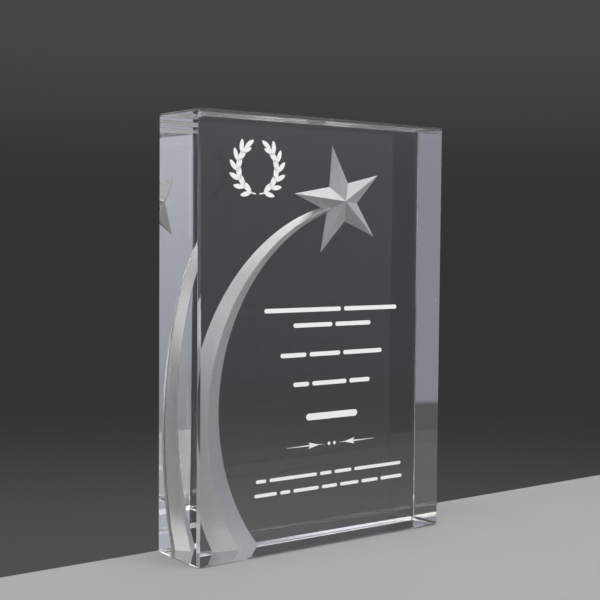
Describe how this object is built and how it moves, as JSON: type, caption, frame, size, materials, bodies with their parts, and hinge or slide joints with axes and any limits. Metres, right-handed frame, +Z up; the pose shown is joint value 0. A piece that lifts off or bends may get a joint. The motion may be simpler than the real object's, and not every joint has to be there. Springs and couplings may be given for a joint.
{
  "type": "crystal award",
  "caption": "Clear block award that stands on its own, with a silver star and ridged comet tail let into the back and plain bars, a divider and a laurel wreath printed on the front.",
  "frame": {"origin": "the middle of the block's underside, on the surface it stands on", "axes": "+X to the right as seen from the front, +Y towards the back, where the star is let in, +Z up"},
  "size_m": [0.127, 0.0312, 0.1778],
  "materials": {
    "crystal": "polished, clear, with polished chamfers",
    "satin_silver": "satin, finely machined",
    "white_print": "flat white ink"
  },
  "bodies": {
    "root": {"comet_tail_inlay": "satin_silver", "crystal_block": "crystal", "divider_left_dart": "white_print", "divider_left_diamond": "white_print", "divider_right_dart": "white_print", "divider_right_diamond": "white_print", "laurel_left_branch": "white_print", "laurel_right_branch": "white_print", "print_line_1_word_1": "white_print", "print_line_1_word_2": "white_print", "print_line_2_word_1": "white_print", "print_line_2_word_2": "white_print", "print_line_3_word_1": "white_print", "print_line_3_word_2": "white_print", "print_line_3_word_3": "white_print", "print_line_4_word_1": "white_print", "print_line_4_word_2": "white_print", "print_line_4_word_3": "white_print", "print_line_5_word_1": "white_print", "print_line_6_word_1": "white_print", "print_line_6_word_2": "white_print", "print_line_6_word_3": "white_print", "print_line_6_word_4": "white_print", "print_line_6_word_5": "white_print", "print_line_7_word_1": "white_print", "print_line_7_word_2": "white_print", "print_line_7_word_3": "white_print", "print_line_7_word_4": "white_print", "print_line_7_word_5": "white_print", "print_line_7_word_6": "white_print", "print_line_7_word_7": "white_print", "star_inlay": "satin_silver"}
  },
  "joints": []
}
